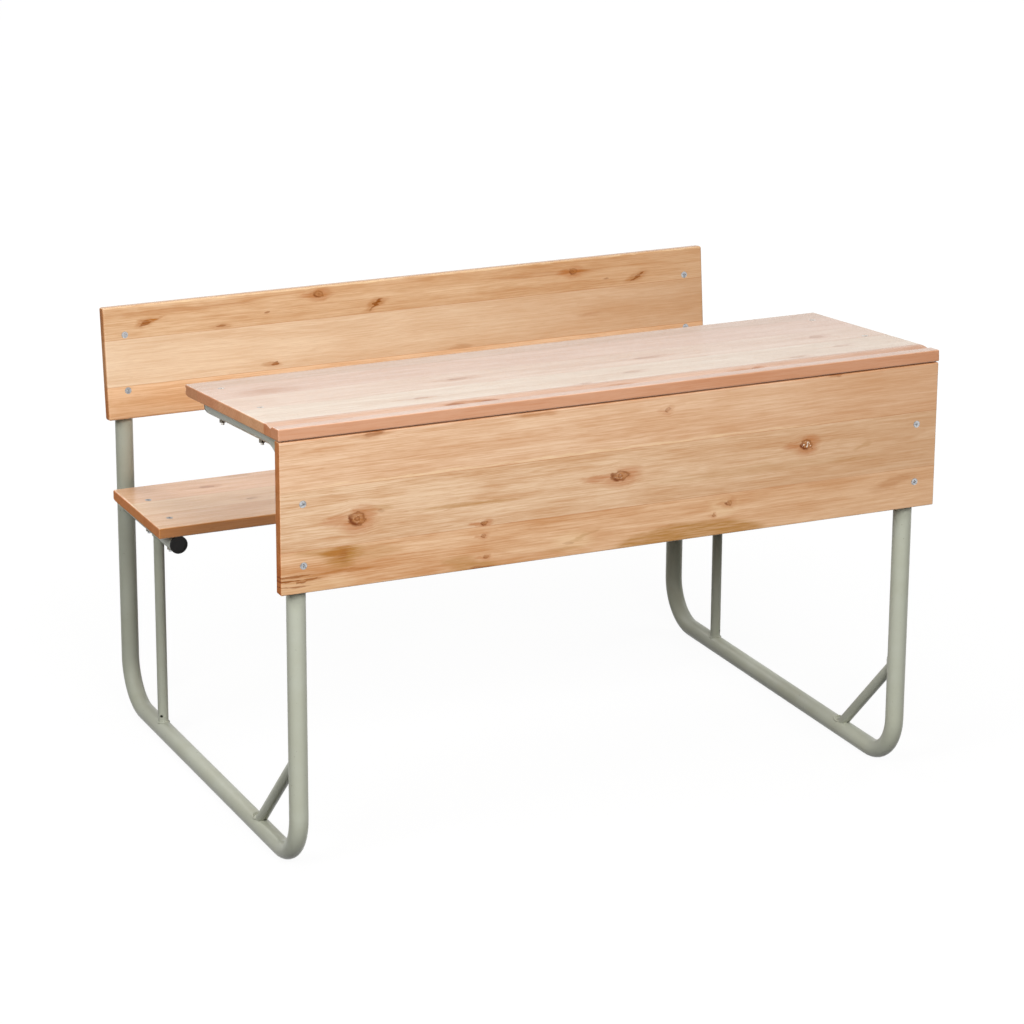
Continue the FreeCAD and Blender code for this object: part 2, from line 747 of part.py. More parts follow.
def end_plug():
    """Return one plug, with its flange above z = 0 and its stem below."""
    flange = add("Part::Cylinder", "PlugFlange", Radius=TUBE_RADIUS, Height="Sizes.plug_flange")
    dish = add(
        "Part::Cylinder",
        "PlugDish",
        Radius=f"{TUBE_RADIUS} - Sizes.plug_rim",
        Height="Sizes.plug_dish + Sizes.overrun",
        Placement=place(z="Sizes.plug_flange - Sizes.plug_dish"),
    )
    stem = add(
        "Part::Cylinder",
        "PlugStem",
        Radius=f"{TUBE_RADIUS} - Sizes.tube_wall - Sizes.plug_clearance",
        Height="Sizes.plug_stem + Sizes.plug_flange / 2",
        Placement=place(z="-Sizes.plug_stem"),
    )
    blank = doc.addObject("Part::MultiFuse", "PlugBlank")
    blank.Shapes = [flange, stem]
    return cut("Plug", blank, [dish])


def plug_tubes():
    """Close the open tube ends at the desk rails, the uprights and the seat rails."""
    plug = end_plug()
    ends = (
        ("desk_rail_plugs", TOP, RAIL_END, TOP_DROP, "-90"),
        ("upright_plugs", BACKREST, "Sizes.upright_reach", BACK_DROP, "-90"),
        ("seat_rail_plugs", SEAT, SEAT_RAIL_START, SEAT_DROP, "90"),
    )
    for node, board, along, drop, turn in ends:
        placements = [on_board(board, side, along, f"-{drop}", turn) for side in SIDES]
        publish(node, compound(f"Group_{node}", links(f"Copy_{node}_", plug, placements)))


def build():
    """Build every sub-part of the desk."""
    bodies = {board.name: board_blank(board) for board in BOARDS}
    top_grooves(bodies["top"])
    rear_bevel(bodies["top"], TOP)
    rear_bevel(bodies["seat"], SEAT)
    doc.recompute()
    nut = hexagon_nut()
    holes = {board.name: fasten(board, nut) for board in BOARDS}
    for board in BOARDS:
        bored = holes[board.name]["left"] + holes[board.name]["right"]
        split_into_staves(board, cut(f"{board.body_name}Drilled", bodies[board.name], bored))
    for side in SIDES:
        side_frame(side, holes)
    plug_tubes()
    doc.recompute()


def export():
    """Check every object and write each sub-part to its own file."""
    for item in doc.Objects:
        if "Invalid" in item.State or "Error" in item.State:
            raise RuntimeError(f"{item.Name} did not build: {item.State}")
    for node, item in nodes.items():
        if item.Shape.isNull() or not item.Shape.isValid() or not item.Shape.Solids:
            raise RuntimeError(f"{node} has no valid solid")
    os.makedirs("parts", exist_ok=True)
    for node, item in nodes.items():
        item.Shape.exportStep(f"parts/{node}.step")
        print(f"{node}: {len(item.Shape.Solids)} solids, {item.Shape.Volume:.0f} mm3")


build()
export()
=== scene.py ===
"""Looks of the double school desk: lacquered staves, painted tubes and welds, bolts, plugs and studio."""

from __future__ import annotations

import logging
import math
from collections.abc import Mapping, Sequence
from dataclasses import dataclass
from enum import Enum
from functools import partial
from typing import Any

import bpy
import numpy as np
from mathutils import Matrix, Vector

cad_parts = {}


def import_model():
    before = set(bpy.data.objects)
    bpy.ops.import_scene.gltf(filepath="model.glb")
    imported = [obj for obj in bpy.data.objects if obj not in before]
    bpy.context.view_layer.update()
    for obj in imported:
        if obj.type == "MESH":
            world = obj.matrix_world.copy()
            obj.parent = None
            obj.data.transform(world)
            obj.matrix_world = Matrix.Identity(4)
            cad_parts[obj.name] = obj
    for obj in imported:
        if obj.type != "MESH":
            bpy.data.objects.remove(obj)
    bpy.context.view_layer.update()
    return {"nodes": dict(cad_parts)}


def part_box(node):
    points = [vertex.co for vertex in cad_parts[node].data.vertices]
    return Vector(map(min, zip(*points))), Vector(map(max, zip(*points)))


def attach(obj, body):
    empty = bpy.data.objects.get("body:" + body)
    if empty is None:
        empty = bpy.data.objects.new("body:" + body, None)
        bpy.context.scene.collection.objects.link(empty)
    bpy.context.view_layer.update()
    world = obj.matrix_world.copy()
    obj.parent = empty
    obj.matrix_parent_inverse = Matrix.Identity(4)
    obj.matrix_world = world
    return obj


LOG = logging.getLogger("school_desk")
MILLIMETRE = 0.001
PICTURE_SIDE = 1024
ORIGIN = (0.0, 0.0, 0.0)
Colour = tuple[float, float, float, float]
Socket = bpy.types.NodeSocket


def tone(red: float, green: float, blue: float) -> Colour:
    """Turns a colour as it is seen on a screen into the linear values that a shader takes.

    Args:
        red: Red, from 0 to 255.
        green: Green, from 0 to 255.
        blue: Blue, from 0 to 255.

    Returns:
        The linear colour, opaque.
    """
    seen = np.array((red, green, blue)) / 255
    linear = np.where(seen <= 0.04045, seen / 12.92, ((seen + 0.055) / 1.055) ** 2.4)
    return (*map(float, linear), 1.0)


def grey(level: float) -> Colour:
    """A grey, from 0 for black to 1 for white."""
    return (level, level, level, 1.0)


class Field:
    """A number that changes over a surface: a socket whose arithmetic adds Math nodes."""

    def __init__(self, graph: NodeGraph, socket: Socket) -> None:
        """Keeps the socket and the graph that it is in."""
        self.graph = graph
        self.socket = socket

    def __add__(self, other: Field | float) -> Field:
        """The sum."""
        return self.graph.math("ADD", self, other)

    def __radd__(self, other: float) -> Field:
        """The sum, with a plain number first."""
        return self.graph.math("ADD", other, self)

    def __sub__(self, other: Field | float) -> Field:
        """The difference."""
        return self.graph.math("SUBTRACT", self, other)

    def __rsub__(self, other: float) -> Field:
        """The difference, from a plain number."""
        return self.graph.math("SUBTRACT", other, self)

    def __mul__(self, other: Field | float) -> Field:
        """The product."""
        return self.graph.math("MULTIPLY", self, other)

    def __rmul__(self, other: float) -> Field:
        """The product, with a plain number first."""
        return self.graph.math("MULTIPLY", other, self)

    def __truediv__(self, other: Field | float) -> Field:
        """The quotient."""
        return self.graph.math("DIVIDE", self, other)

    def __pow__(self, other: Field | float) -> Field:
        """The power."""
        return self.graph.math("POWER", self, other)

    def __abs__(self) -> Field:
        """The size without its sign."""
        return self.graph.math("ABSOLUTE", self)

    def fraction(self) -> Field:
        """What is left above the whole number below."""
        return self.graph.math("FRACT", self)

    def most(self, other: Field | float) -> Field:
        """The larger of the two."""
        return self.graph.math("MAXIMUM", self, other)

    def rise(self, low: float, high: float) -> Field:
        """Goes smoothly from 0 at low to 1 at high, or falls where low is above high.

        Args:
            low: The value that gives 0.
            high: The value that gives 1.

        Returns:
            The share, from 0 to 1.
        """
        start, end, at_start, at_end = (low, high, 0.0, 1.0) if low < high else (high, low, 1.0, 0.0)
        made = self.graph.node(
            "ShaderNodeMapRange",
            {"interpolation_type": "SMOOTHSTEP"},
            {0: self, 1: start, 2: end, 3: at_start, 4: at_end},
        )
        return Field(self.graph, made.outputs[0])


class NodeGraph:
    """The nodes of a material or of the world.

    The seed steps are how many clouds a noise is moved by along each axis, times its seed.
    """

    SEED_STEPS = (13.7, 7.9, 5.3)

    def __init__(self, owner: bpy.types.Material | bpy.types.World) -> None:
        """Clears the owner's nodes."""
        owner.use_nodes = True
        self.owner = owner
        self.tree = owner.node_tree
        self.tree.nodes.clear()

    def node(
        self,
        kind: str,
        settings: Mapping[str, Any] | None = None,
        inputs: Mapping[str | int, Any] | None = None,
    ) -> bpy.types.Node:
        """Adds one node.

        Args:
            kind: The node's type.
            settings: Its own settings, which are set first.
            inputs: What its sockets take, by name or number: a plain value, a socket or a Field.

        Returns:
            The node.
        """
        made = self.tree.nodes.new(kind)
        for name, setting in (settings or {}).items():
            setattr(made, name, setting)
        self.feed(made, inputs or {})
        return made

    def feed(self, node: bpy.types.Node, inputs: Mapping[str | int, Any]) -> None:
        """Sets or links a node's sockets.

        Args:
            node: The node.
            inputs: What its sockets take, by name or number.
        """
        for name, given in inputs.items():
            source = given.socket if isinstance(given, Field) else given
            if isinstance(source, Socket):
                self.tree.links.new(source, node.inputs[name])
            else:
                node.inputs[name].default_value = source

    def math(self, operation: str, *values: Field | float) -> Field:
        """Adds a Math node.

        Args:
            operation: What it does.
            values: Its operands.

        Returns:
            Its result.
        """
        made = self.node("ShaderNodeMath", {"operation": operation}, dict(enumerate(values)))
        return Field(self, made.outputs[0])

    def parts(self, vector: Socket) -> tuple[Field, Field, Field]:
        """The three numbers of a vector."""
        made = self.node("ShaderNodeSeparateXYZ", {}, {0: vector})
        return Field(self, made.outputs[0]), Field(self, made.outputs[1]), Field(self, made.outputs[2])

    def joined(self, first: Field | float, second: Field | float, third: Field | float) -> Socket:
        """The vector of three numbers."""
        return self.node("ShaderNodeCombineXYZ", {}, {0: first, 1: second, 2: third}).outputs[0]

    def placed(
        self,
        vector: Socket,
        location: Sequence[float],
        scale: Sequence[float],
        turn: Sequence[float] = ORIGIN,
    ) -> Socket:
        """Measures a place from another origin, along turned axes and in other units.

        Args:
            vector: The place.
            location: The new origin.
            scale: The length of the new unit along each axis.
            turn: How far the axes are turned, in radians.

        Returns:
            The place in the new measure.
        """
        return self.node(
            "ShaderNodeMapping",
            {"vector_type": "TEXTURE"},
            {"Vector": vector, "Location": location, "Rotation": turn, "Scale": scale},
        ).outputs[0]

    def length(self, vector: Socket) -> Field:
        """How long a vector is."""
        made = self.node("ShaderNodeVectorMath", {"operation": "LENGTH"}, {0: vector})
        return Field(self, made.outputs[1])

    def noise(
        self,
        vector: Socket,
        stretch: Sequence[float],
        seed: float,
        detail: float = 2.0,
        roughness: float = 0.5,
    ) -> Field:
        """Cloudy noise, drawn out along the axes.

        Args:
            vector: The place.
            stretch: The size of a cloud along each axis, in the place's units.
            seed: A number that gives another cloud.
            detail: How many finer layers it has.
            roughness: How strong they are.

        Returns:
            The noise, mostly from 0.2 to 0.8.
        """
        where = [-size * seed * step for size, step in zip(stretch, self.SEED_STEPS)]
        drawn_out = self.placed(vector, where, stretch)
        inputs = {"Vector": drawn_out, "Scale": 1.0, "Detail": detail, "Roughness": roughness}
        return Field(self, self.node("ShaderNodeTexNoise", {}, inputs).outputs["Fac"])

    def mix(
        self,
        share: Field | float,
        first: Socket | Colour,
        second: Socket | Colour,
        blend: str = "MIX",
    ) -> Socket:
        """Mixes two colours.

        Args:
            share: How much of the second one there is.
            first: The colour below.
            second: The colour laid over it.
            blend: How it is laid over.

        Returns:
            The mixed colour.
        """
        settings = {"data_type": "RGBA", "blend_type": blend, "clamp_factor": True}
        return self.node("ShaderNodeMix", settings, {0: share, 6: first, 7: second}).outputs[2]

    def relief(self, height: Field, depth: float, strength: float) -> Socket:
        """Turns a height into a bent normal.

        Args:
            height: The height, from 0 to 1.
            depth: What 1 stands for, in metres.
            strength: How much of it shows.

        Returns:
            The normal.
        """
        inputs = {"Height": height, "Distance": depth, "Strength": strength}
        return self.node("ShaderNodeBump", {}, inputs).outputs[0]

    def seen(self) -> Field:
        """Gives 1 for what the camera sees, straight, in gloss or in glass, and 0 for what gives light."""
        path = self.node("ShaderNodeLightPath")
        kinds = ("Is Camera Ray", "Is Glossy Ray", "Is Transmission Ray")
        straight, gloss, glass = (Field(self, path.outputs[kind]) for kind in kinds)
        return straight.most(gloss).most(glass)


class Surface(NodeGraph):
    """The nodes of one material, round one Principled shader."""

    def __init__(self, name: str) -> None:
        """Starts a material of that name with its output, its shader and the place on the object."""
        super().__init__(bpy.data.materials.new(name))
        self.shader = self.node("ShaderNodeBsdfPrincipled")
        self.node("ShaderNodeOutputMaterial", {}, {"Surface": self.shader.outputs[0]})
        self.coordinates = self.node("ShaderNodeTexCoord")

    def millimetres(self) -> Socket:
        """The place on the object, in millimetres."""
        return self.placed(self.coordinates.outputs["Object"], ORIGIN, (MILLIMETRE,) * 3)


class MarkKind(Enum):
    """What grew into the wood at a mark; the pale line on the backrest's upper edge is a painted highlight.
    """

    KNOT = "knot"
    DARK = "dark streak"
    BROWN = "brown stain"
    OLIVE = "olive stain"
    PALE = "pale patch"


class KnotPart(Enum):
    """What a knot is drawn with, from the wood round it inwards."""

    RIM = "rim"
    EYE = "eye"
    CORE = "core"
    # painted highlight specks in the knot's middle
    GLINT = "resin"


@dataclass(frozen=True)
class Mark:
    """A mark in a stave, in millimetres on its board's face.

    The place is counted from the board's left end and from its far edge, which is its rear or upper one.
    The length and the width are half sizes, and the turn is in degrees. The glint is how bright a knot's
    painted highlight specks are, and the soft is how wide a stain's border is.
    """

    kind: MarkKind
    along: float
    across: float
    length: float
    width: float
    strength: float
    turn: float = 0.0
    resin: float = 0.0
    soft: float = 1.0


@dataclass(frozen=True)
class Lie:
    """How a board lies: the corner of its face at the left end and far edge, and its tilt in radians."""

    corner: tuple[float, float, float]
    tilt: float

    @classmethod
    def found(cls, nodes: Sequence[bpy.types.Object], tilt: float) -> Lie:
        """Finds how a board lies from the staves that it is glued up from.

        The staves' points are turned back by the tilt. Their lowest x, highest y and highest z then give the
        corner.

        Args:
            nodes: The staves.
            tilt: The board's tilt about X, in radians.

        Returns:
            The board's lie.
        """
        turn = Matrix.Rotation(tilt, 3, "X")
        points = np.concatenate([vertices_of(node) for node in nodes]) @ np.array(turn)
        corner = Vector((points[:, 0].min(), points[:, 1].max(), points[:, 2].max()))
        return cls(tuple(turn @ corner), tilt)

    def across_of(self, node: bpy.types.Object) -> tuple[float, float]:
        """The distances of a stave's two edges from the far edge of its board, in millimetres."""
        points = (vertices_of(node) - np.array(self.corner)) @ np.array(Matrix.Rotation(self.tilt, 3, "X"))
        return -points[:, 1].max() / MILLIMETRE, -points[:, 1].min() / MILLIMETRE


def vertices_of(node: bpy.types.Object) -> np.ndarray:
    """The places of an object's vertices, one row each."""
    places = np.empty(len(node.data.vertices) * 3)
    node.data.vertices.foreach_get("co", places)
    return places.reshape(-1, 3)


def dress(node: bpy.types.Object, material: bpy.types.Material) -> None:
    """Gives an object one material, in every slot it has."""
    if not node.material_slots:
        node.data.materials.append(None)
    for slot in node.material_slots:
        slot.material = material


@dataclass(frozen=True)
class StaveFinish:
    """Clear satin lacquer on one stave, with the wood's own figure below it.

    The body is the wood's middle colour, from 0 to 255, and the spread is how far its green goes either way.
    The heart is where the middle of the tree lies: millimetres from the board's far edge and below its face.
    The contrast is the figure's strength at the left end, of which the calm is lost towards the right end,
    where the shade drift has made the wood deeper: painted shade, for light that falls off along the board.
    The edge and the end are the tints of a planed edge and a sawn end; on the seat's front edge the edge
    tint is painted warm shade. The run is a board's length and the ring width is a year's growth, in
    millimetres.
    """

    body: tuple[int, int, int]
    spread: float
    seed: float
    heart: tuple[float, float]
    contrast: float = 1.0
    calm: float = 0.0
    drift: float = 0.0
    streaks: float = 0.5
    rings: float = 0.2
    gloss: float = 0.5
    edge: tuple[int, int, int] = (255, 255, 255)
    end: tuple[int, int, int] = (230, 178, 132)
    marks: tuple[Mark, ...] = ()

    RUN = 1200.0
    RING_WIDTH = 6.5
    ENDLESS = 1e6
    WARMING = (0.65, 1.0, 1.2)
    DEEPEST = 2.4
    PORES = 0.16
    END_RINGS = 0.14
    GLUE = 0.45
    RELIEF = 0.12 * MILLIMETRE
    LAYERS = {
        MarkKind.PALE: tone(238, 206, 164),
        MarkKind.OLIVE: tone(178, 126, 62),
        MarkKind.BROWN: tone(174, 106, 40),
        MarkKind.DARK: tone(146, 82, 28),
        KnotPart.RIM: tone(178, 98, 26),
        KnotPart.EYE: tone(164, 104, 42),
        KnotPart.CORE: tone(112, 48, 0),
        # the colour of the painted highlight specks in a knot's middle
        KnotPart.GLINT: tone(238, 222, 204),
    }

    def shade(self, depth: float) -> Colour:
        """The wood's colour at a depth: palest at -1, the body at 0, and deep and warm from 1 on."""
        return tone(*(part - depth * self.spread * slope for part, slope in zip(self.body, self.WARMING)))

    def material(self, name: str, lie: Lie, edges: tuple[float, float]) -> bpy.types.Material:
        """Makes the stave's material.

        Args:
            name: The material's name.
            lie: How the stave's board lies.
            edges: The distances of the stave's edges from the board's far edge.

        Returns:
            The material.
        """
        graph = Surface(name)
        unit = (MILLIMETRE, -MILLIMETRE, -MILLIMETRE)
        tilt = (lie.tilt, 0.0, 0.0)
        place = graph.placed(graph.coordinates.outputs["Object"], lie.corner, unit, tilt)
        facing = graph.placed(graph.coordinates.outputs["Normal"], ORIGIN, (1.0, 1.0, 1.0), tilt)
        sawn, planed = (abs(part).rise(0.55, 0.9) for part in graph.parts(facing)[:2])
        shares, grain = self._grown_round_marks(graph, place)
        colour, late = self._figure(graph, grain)
        pores = graph.noise(grain, (16.0, 0.4, 0.4), self.seed + 5, 1.0).rise(0.57, 0.7)
        colour = graph.mix(pores * self.PORES, colour, self.shade(self.DEEPEST))
        for layer, stain in self.LAYERS.items():
            colour = graph.mix(shares[layer], colour, stain)
        colour = graph.mix(sawn, colour, tone(*self.end), "MULTIPLY")
        colour = graph.mix(sawn * late * self.END_RINGS, colour, self.LAYERS[MarkKind.BROWN])
        # The planed edges take the edge tint, which on the seat's front edge is painted warm shade
        colour = graph.mix(planed, colour, tone(*self.edge), "MULTIPLY")
        across = graph.parts(place)[1]
        far, near = (abs(across - edge).rise(0.8, 0.2) for edge in edges)
        colour = graph.mix(far.most(near) * self.GLUE, colour, self.LAYERS[KnotPart.RIM])

        core = shares[KnotPart.CORE]
        cloud = graph.noise(place, (45.0, 30.0, 30.0), self.seed + 8, 3.0)
        roughness = 0.16 + 0.08 * cloud + 0.08 * pores + 0.1 * core + 0.6 * sawn
        swell = graph.noise(place, (30.0, 6.0, 6.0), self.seed + 9, 3.0)
        height = 0.7 - 0.5 * pores - 0.25 * late + 0.3 * swell - 0.4 * core
        normal = graph.relief(height, self.RELIEF, 0.5)
        graph.feed(graph.shader, {"Base Color": colour, "Roughness": roughness, "Normal": normal})
        graph.feed(graph.shader, {"IOR": 1.47, "Specular IOR Level": self.gloss})
        return graph.owner

    def _grown_round_marks(
        self, graph: NodeGraph, place: Socket
    ) -> tuple[dict[Enum, Field | float], Socket]:
        """Finds where the marks are, and bends the grain round the knots.

        The marks' borders are ragged, because noise moves the place that they are measured from. Near a knot
        the place across the grain is drawn towards its middle, so that the streaks part round it.

        Args:
            graph: The material's nodes.
            place: The place on the board, in millimetres.

        Returns:
            The shares of the stains and of the knots' parts, and the place that the grain is drawn by.
        """
        along, across, below = graph.parts(place)
        uneven = graph.noise(place, (13.0, 8.0, 8.0), self.seed + 1, 4.0, 0.6) - 0.5
        ragged = graph.joined(along + 18.0 * uneven, across + 9.0 * uneven, below)
        flame = graph.noise(place, (46.0, 12.0, 12.0), self.seed + 7, 4.0, 0.6) - 0.5
        torn = graph.joined(along + 36.0 * flame, across + 12.0 * flame, below)
        broken = graph.noise(place, (60.0, 3.4, 3.4), self.seed + 3, 4.0, 0.6).rise(0.3, 0.7)
        patchy = graph.noise(place, (8.0, 5.0, 5.0), self.seed + 4, 3.0, 0.6)
        specks = graph.noise(place, (4.0, 3.4, 3.4), self.seed + 6, 1.0).rise(0.58, 0.66)
        waver = graph.noise(place, (190.0, 40.0, 40.0), self.seed + 2, 2.0) - 0.5
        shift = 7.0 * waver
        shares: dict[Enum, Field | float] = dict.fromkeys(self.LAYERS, 0.0)
        for mark in self.marks:
            is_knot = mark.kind is MarkKind.KNOT
            turn = (0.0, 0.0, math.radians(mark.turn))
            size = (mark.length, mark.width, self.ENDLESS)
            near = graph.placed(ragged if is_knot else torn, (mark.along, mark.across, 0.0), size, turn)
            away = graph.length(near)
            if is_knot:
                grown = self._knot(graph, near, broken, patchy, specks * mark.resin)
                shift = shift + (mark.across - across) * away.rise(3.2, 0.4) * 0.5
            else:
                border = away.rise(1.0 + 0.3 * mark.soft, 1.0 - 0.5 * mark.soft)
                grown = {mark.kind: border * (0.4 + 0.65 * broken)}
            for layer, share in grown.items():
                shares[layer] = share * mark.strength + shares[layer]
        return shares, graph.joined(along, across + shift, below)

    @staticmethod
    def _knot(
        graph: NodeGraph, near: Socket, broken: Field, patchy: Field, specks: Field
    ) -> dict[Enum, Field]:
        """Draws a knot.

        Its broken outline is darkest at its left and lower side. Round it are a warm halo, a lobe at its
        upper right and a tail to its left.

        Args:
            graph: The material's nodes.
            near: The place from the knot's middle, as a share of its half sizes.
            broken: Noise that breaks the halo up along the grain.
            patchy: Noise that breaks the outline up.
            specks: The painted highlight specks, as strong as the mark's glint.

        Returns:
            The shares of its parts.
        """
        along, across, _ = graph.parts(near)
        away = graph.length(near)
        inside = away.rise(1.2, 0.8)
        sided = (0.5 * across - 0.6 * along).rise(-0.3, 0.6)
        outline = away.rise(0.4, 0.75) * (0.6 + 0.4 * patchy.rise(0.35, 0.55)) * (0.1 + 0.9 * sided)
        arcs = (1.6 * away + 0.9 * patchy).fraction().rise(0.35, 0.95)
        back = (along + 2.0) / 2.2
        tail = (1.6 * across * across + back * back).rise(1.6, 0.0)
        lobe_along = along - 0.7
        lobe_across = across + 0.5
        lobe = (0.35 * lobe_along * lobe_along + 0.5 * lobe_across * lobe_across).rise(1.6, 0.0)
        halo = away.rise(3.0, 0.9) * (0.15 + 0.85 * (0.6 * along + 0.8 * across).rise(-1.4, -0.2))
        glow = (0.8 * lobe.most(tail) * (0.4 + 0.6 * broken)).most(halo * (0.5 + 0.3 * broken))
        return {
            KnotPart.RIM: glow * 0.9,
            KnotPart.EYE: inside * 0.5,
            KnotPart.CORE: inside * outline.most(0.6 * arcs),
            # painted highlight specks inside the knot
            KnotPart.GLINT: away.rise(0.8, 0.5) * specks,
        }

    def _figure(self, graph: NodeGraph, grain: Socket) -> tuple[Socket, Field]:
        """Draws the stave's growth rings and its streaks.

        A ring is the set of points at one distance from the tree's heart, which wanders along the stave.

        Args:
            graph: The material's nodes.
            grain: The place that the grain is drawn by.

        Returns:
            The wood's colour, and the share of late wood.
        """
        along, across, below = graph.parts(grain)
        sway = graph.noise(grain, (420.0, 260.0, 260.0), self.seed + 10, 1.0) - 0.5
        dive = graph.noise(grain, (330.0, 300.0, 300.0), self.seed + 11, 1.0) - 0.5
        aside = across - self.heart[0] + 60.0 * sway
        under = below + self.heart[1] + 80.0 * dive
        reach = (aside * aside + under * under) ** 0.5
        wander = 1.2 * graph.noise(grain, (240.0, 11.0, 11.0), self.seed + 12, 2.0)
        ring = (reach / self.RING_WIDTH + wander).fraction()
        late = ring.rise(0.3, 0.95) * (1.0 - ring.rise(0.95, 1.0))

        bands = graph.noise(grain, (900.0, 34.0, 34.0), self.seed + 13, 2.0).rise(0.25, 0.75)
        cloud = graph.noise(grain, (130.0, 30.0, 30.0), self.seed + 16, 3.0).rise(0.3, 0.7)
        lines = graph.noise(grain, (320.0, 20.0, 20.0), self.seed + 14, 5.0, 0.7).rise(0.3, 0.7)
        dashes = graph.noise(grain, (40.0, 2.6, 2.6), self.seed + 15, 2.0, 0.6).rise(0.36, 0.66)
        stripes = graph.noise(grain, (260.0, 5.0, 5.0), self.seed + 17, 4.0, 0.65).rise(0.58, 0.74)
        flecks = graph.noise(grain, (26.0, 2.8, 2.8), self.seed + 18, 2.0).rise(0.68, 0.76)
        fine = graph.noise(grain, (150.0, 1.5, 1.5), self.seed + 19, 1.0).rise(0.4, 0.6)
        run = along / self.RUN
        lively = self.contrast * (1.0 - self.calm * run)
        swing = 0.5 * bands + 0.5 * cloud + 0.5 * lines + 0.35 * dashes + 0.4 * fine - 1.12
        # The shade drift is painted shade: the wood darkens along the board as if the light fell off towards
        # one end
        depth = 0.5 + lively * swing + self.drift * (run - 0.5)
        colour = graph.mix(depth, self.shade(-1.0), self.shade(1.0))
        colour = graph.mix(stripes * lively * (self.streaks * 0.7), colour, self.shade(self.DEEPEST))
        colour = graph.mix(late * (self.rings * 0.5), colour, self.shade(2.0))
        colour = graph.mix(flecks * lively * 0.4, colour, self.shade(self.DEEPEST))
        return colour, late


@dataclass(frozen=True)
class PaintFinish:
    """Satin powder coat in sage, on the welded frames."""

    body: Colour = tone(190, 193, 178)
    thin: Colour = tone(184, 186, 168)
    worn: Colour = tone(104, 92, 72)

    def material(self, name: str) -> bpy.types.Material:
        """Makes the paint, with orange peel, uneven cover and a few small chips.

        Args:
            name: The material's name.

        Returns:
            The material.
        """
        graph = Surface(name)
        place = graph.millimetres()
        cloud = graph.noise(place, (70.0, 70.0, 70.0), 3.0, 4.0, 0.6)
        specks = graph.noise(place, (3.2, 3.2, 3.2), 7.0, 2.0).rise(0.735, 0.76)
        colour = graph.mix(cloud.rise(0.3, 0.75), self.body, self.thin)
        colour = graph.mix(specks * 0.7, colour, self.worn)
        peel = graph.noise(place, (2.6, 2.6, 2.6), 11.0, 2.0)
        flow = graph.noise(place, (26.0, 26.0, 26.0), 13.0, 2.0)
        normal = graph.relief(0.35 * peel + 0.65 * flow - 0.4 * specks, 0.25 * MILLIMETRE, 0.35)
        roughness = 0.24 + 0.1 * cloud + 0.2 * specks
        graph.feed(graph.shader, {"Base Color": colour, "Roughness": roughness, "Normal": normal})
        graph.feed(graph.shader, {"IOR": 1.48, "Specular IOR Level": 0.15})
        return graph.owner


@dataclass(frozen=True)
class ZincFinish:
    """Zinc on the bolts or the nuts, dulled by handling."""

    bright: Colour
    dull: Colour

    def material(self, name: str) -> bpy.types.Material:
        """Makes the zinc, with its spangle and a little grime.

        Args:
            name: The material's name.

        Returns:
            The material.
        """
        graph = Surface(name)
        place = graph.millimetres()
        spangle = graph.noise(place, (1.6, 1.6, 1.6), 2.0, 3.0, 0.6)
        grime = graph.noise(place, (6.0, 6.0, 6.0), 5.0, 3.0)
        colour = graph.mix((0.5 * spangle + 0.5 * grime).rise(0.35, 0.7), self.bright, self.dull)
        normal = graph.relief(spangle, 0.06 * MILLIMETRE, 0.4)
        graph.feed(graph.shader, {"Base Color": colour, "Roughness": 0.28 + 0.25 * grime, "Normal": normal})
        graph.feed(graph.shader, {"Metallic": 1.0})
        return graph.owner


@dataclass(frozen=True)
class PlasticFinish:
    """Black moulded plastic on the end plugs."""

    body: Colour = tone(17, 16, 15)
    rubbed: Colour = tone(34, 32, 30)

    def material(self, name: str) -> bpy.types.Material:
        """Makes the plastic, with its moulded grain and rubbed patches.

        Args:
            name: The material's name.

        Returns:
            The material.
        """
        graph = Surface(name)
        place = graph.millimetres()
        rub = graph.noise(place, (9.0, 9.0, 9.0), 4.0, 4.0, 0.65)
        grain = graph.noise(place, (0.7, 0.7, 0.7), 9.0, 2.0)
        colour = graph.mix(rub.rise(0.45, 0.8) * 0.7, self.body, self.rubbed)
        normal = graph.relief(grain, 0.1 * MILLIMETRE, 0.4)
        graph.feed(graph.shader, {"Base Color": colour, "Roughness": 0.42 + 0.2 * rub, "Normal": normal})
        graph.feed(graph.shader, {"Specular IOR Level": 0.25})
        return graph.owner


@dataclass(frozen=True)
class Board:
    """A board glued up from staves: its face's tilt in degrees, and each stave's finish by its CAD node."""

    name: str
    tilt: float
    staves: Mapping[str, StaveFinish]

    def dress(self, nodes: Mapping[str, bpy.types.Object]) -> None:
        """Gives every stave its own wood.

        Args:
            nodes: The CAD nodes by name.
        """
        lie = Lie.found([nodes[stave] for stave in self.staves], math.radians(self.tilt))
        for stave, finish in self.staves.items():
            dress(nodes[stave], finish.material(f"{stave}_wood", lie, lie.across_of(nodes[stave])))
            LOG.info("%s: %s lacquered", self.name, stave)


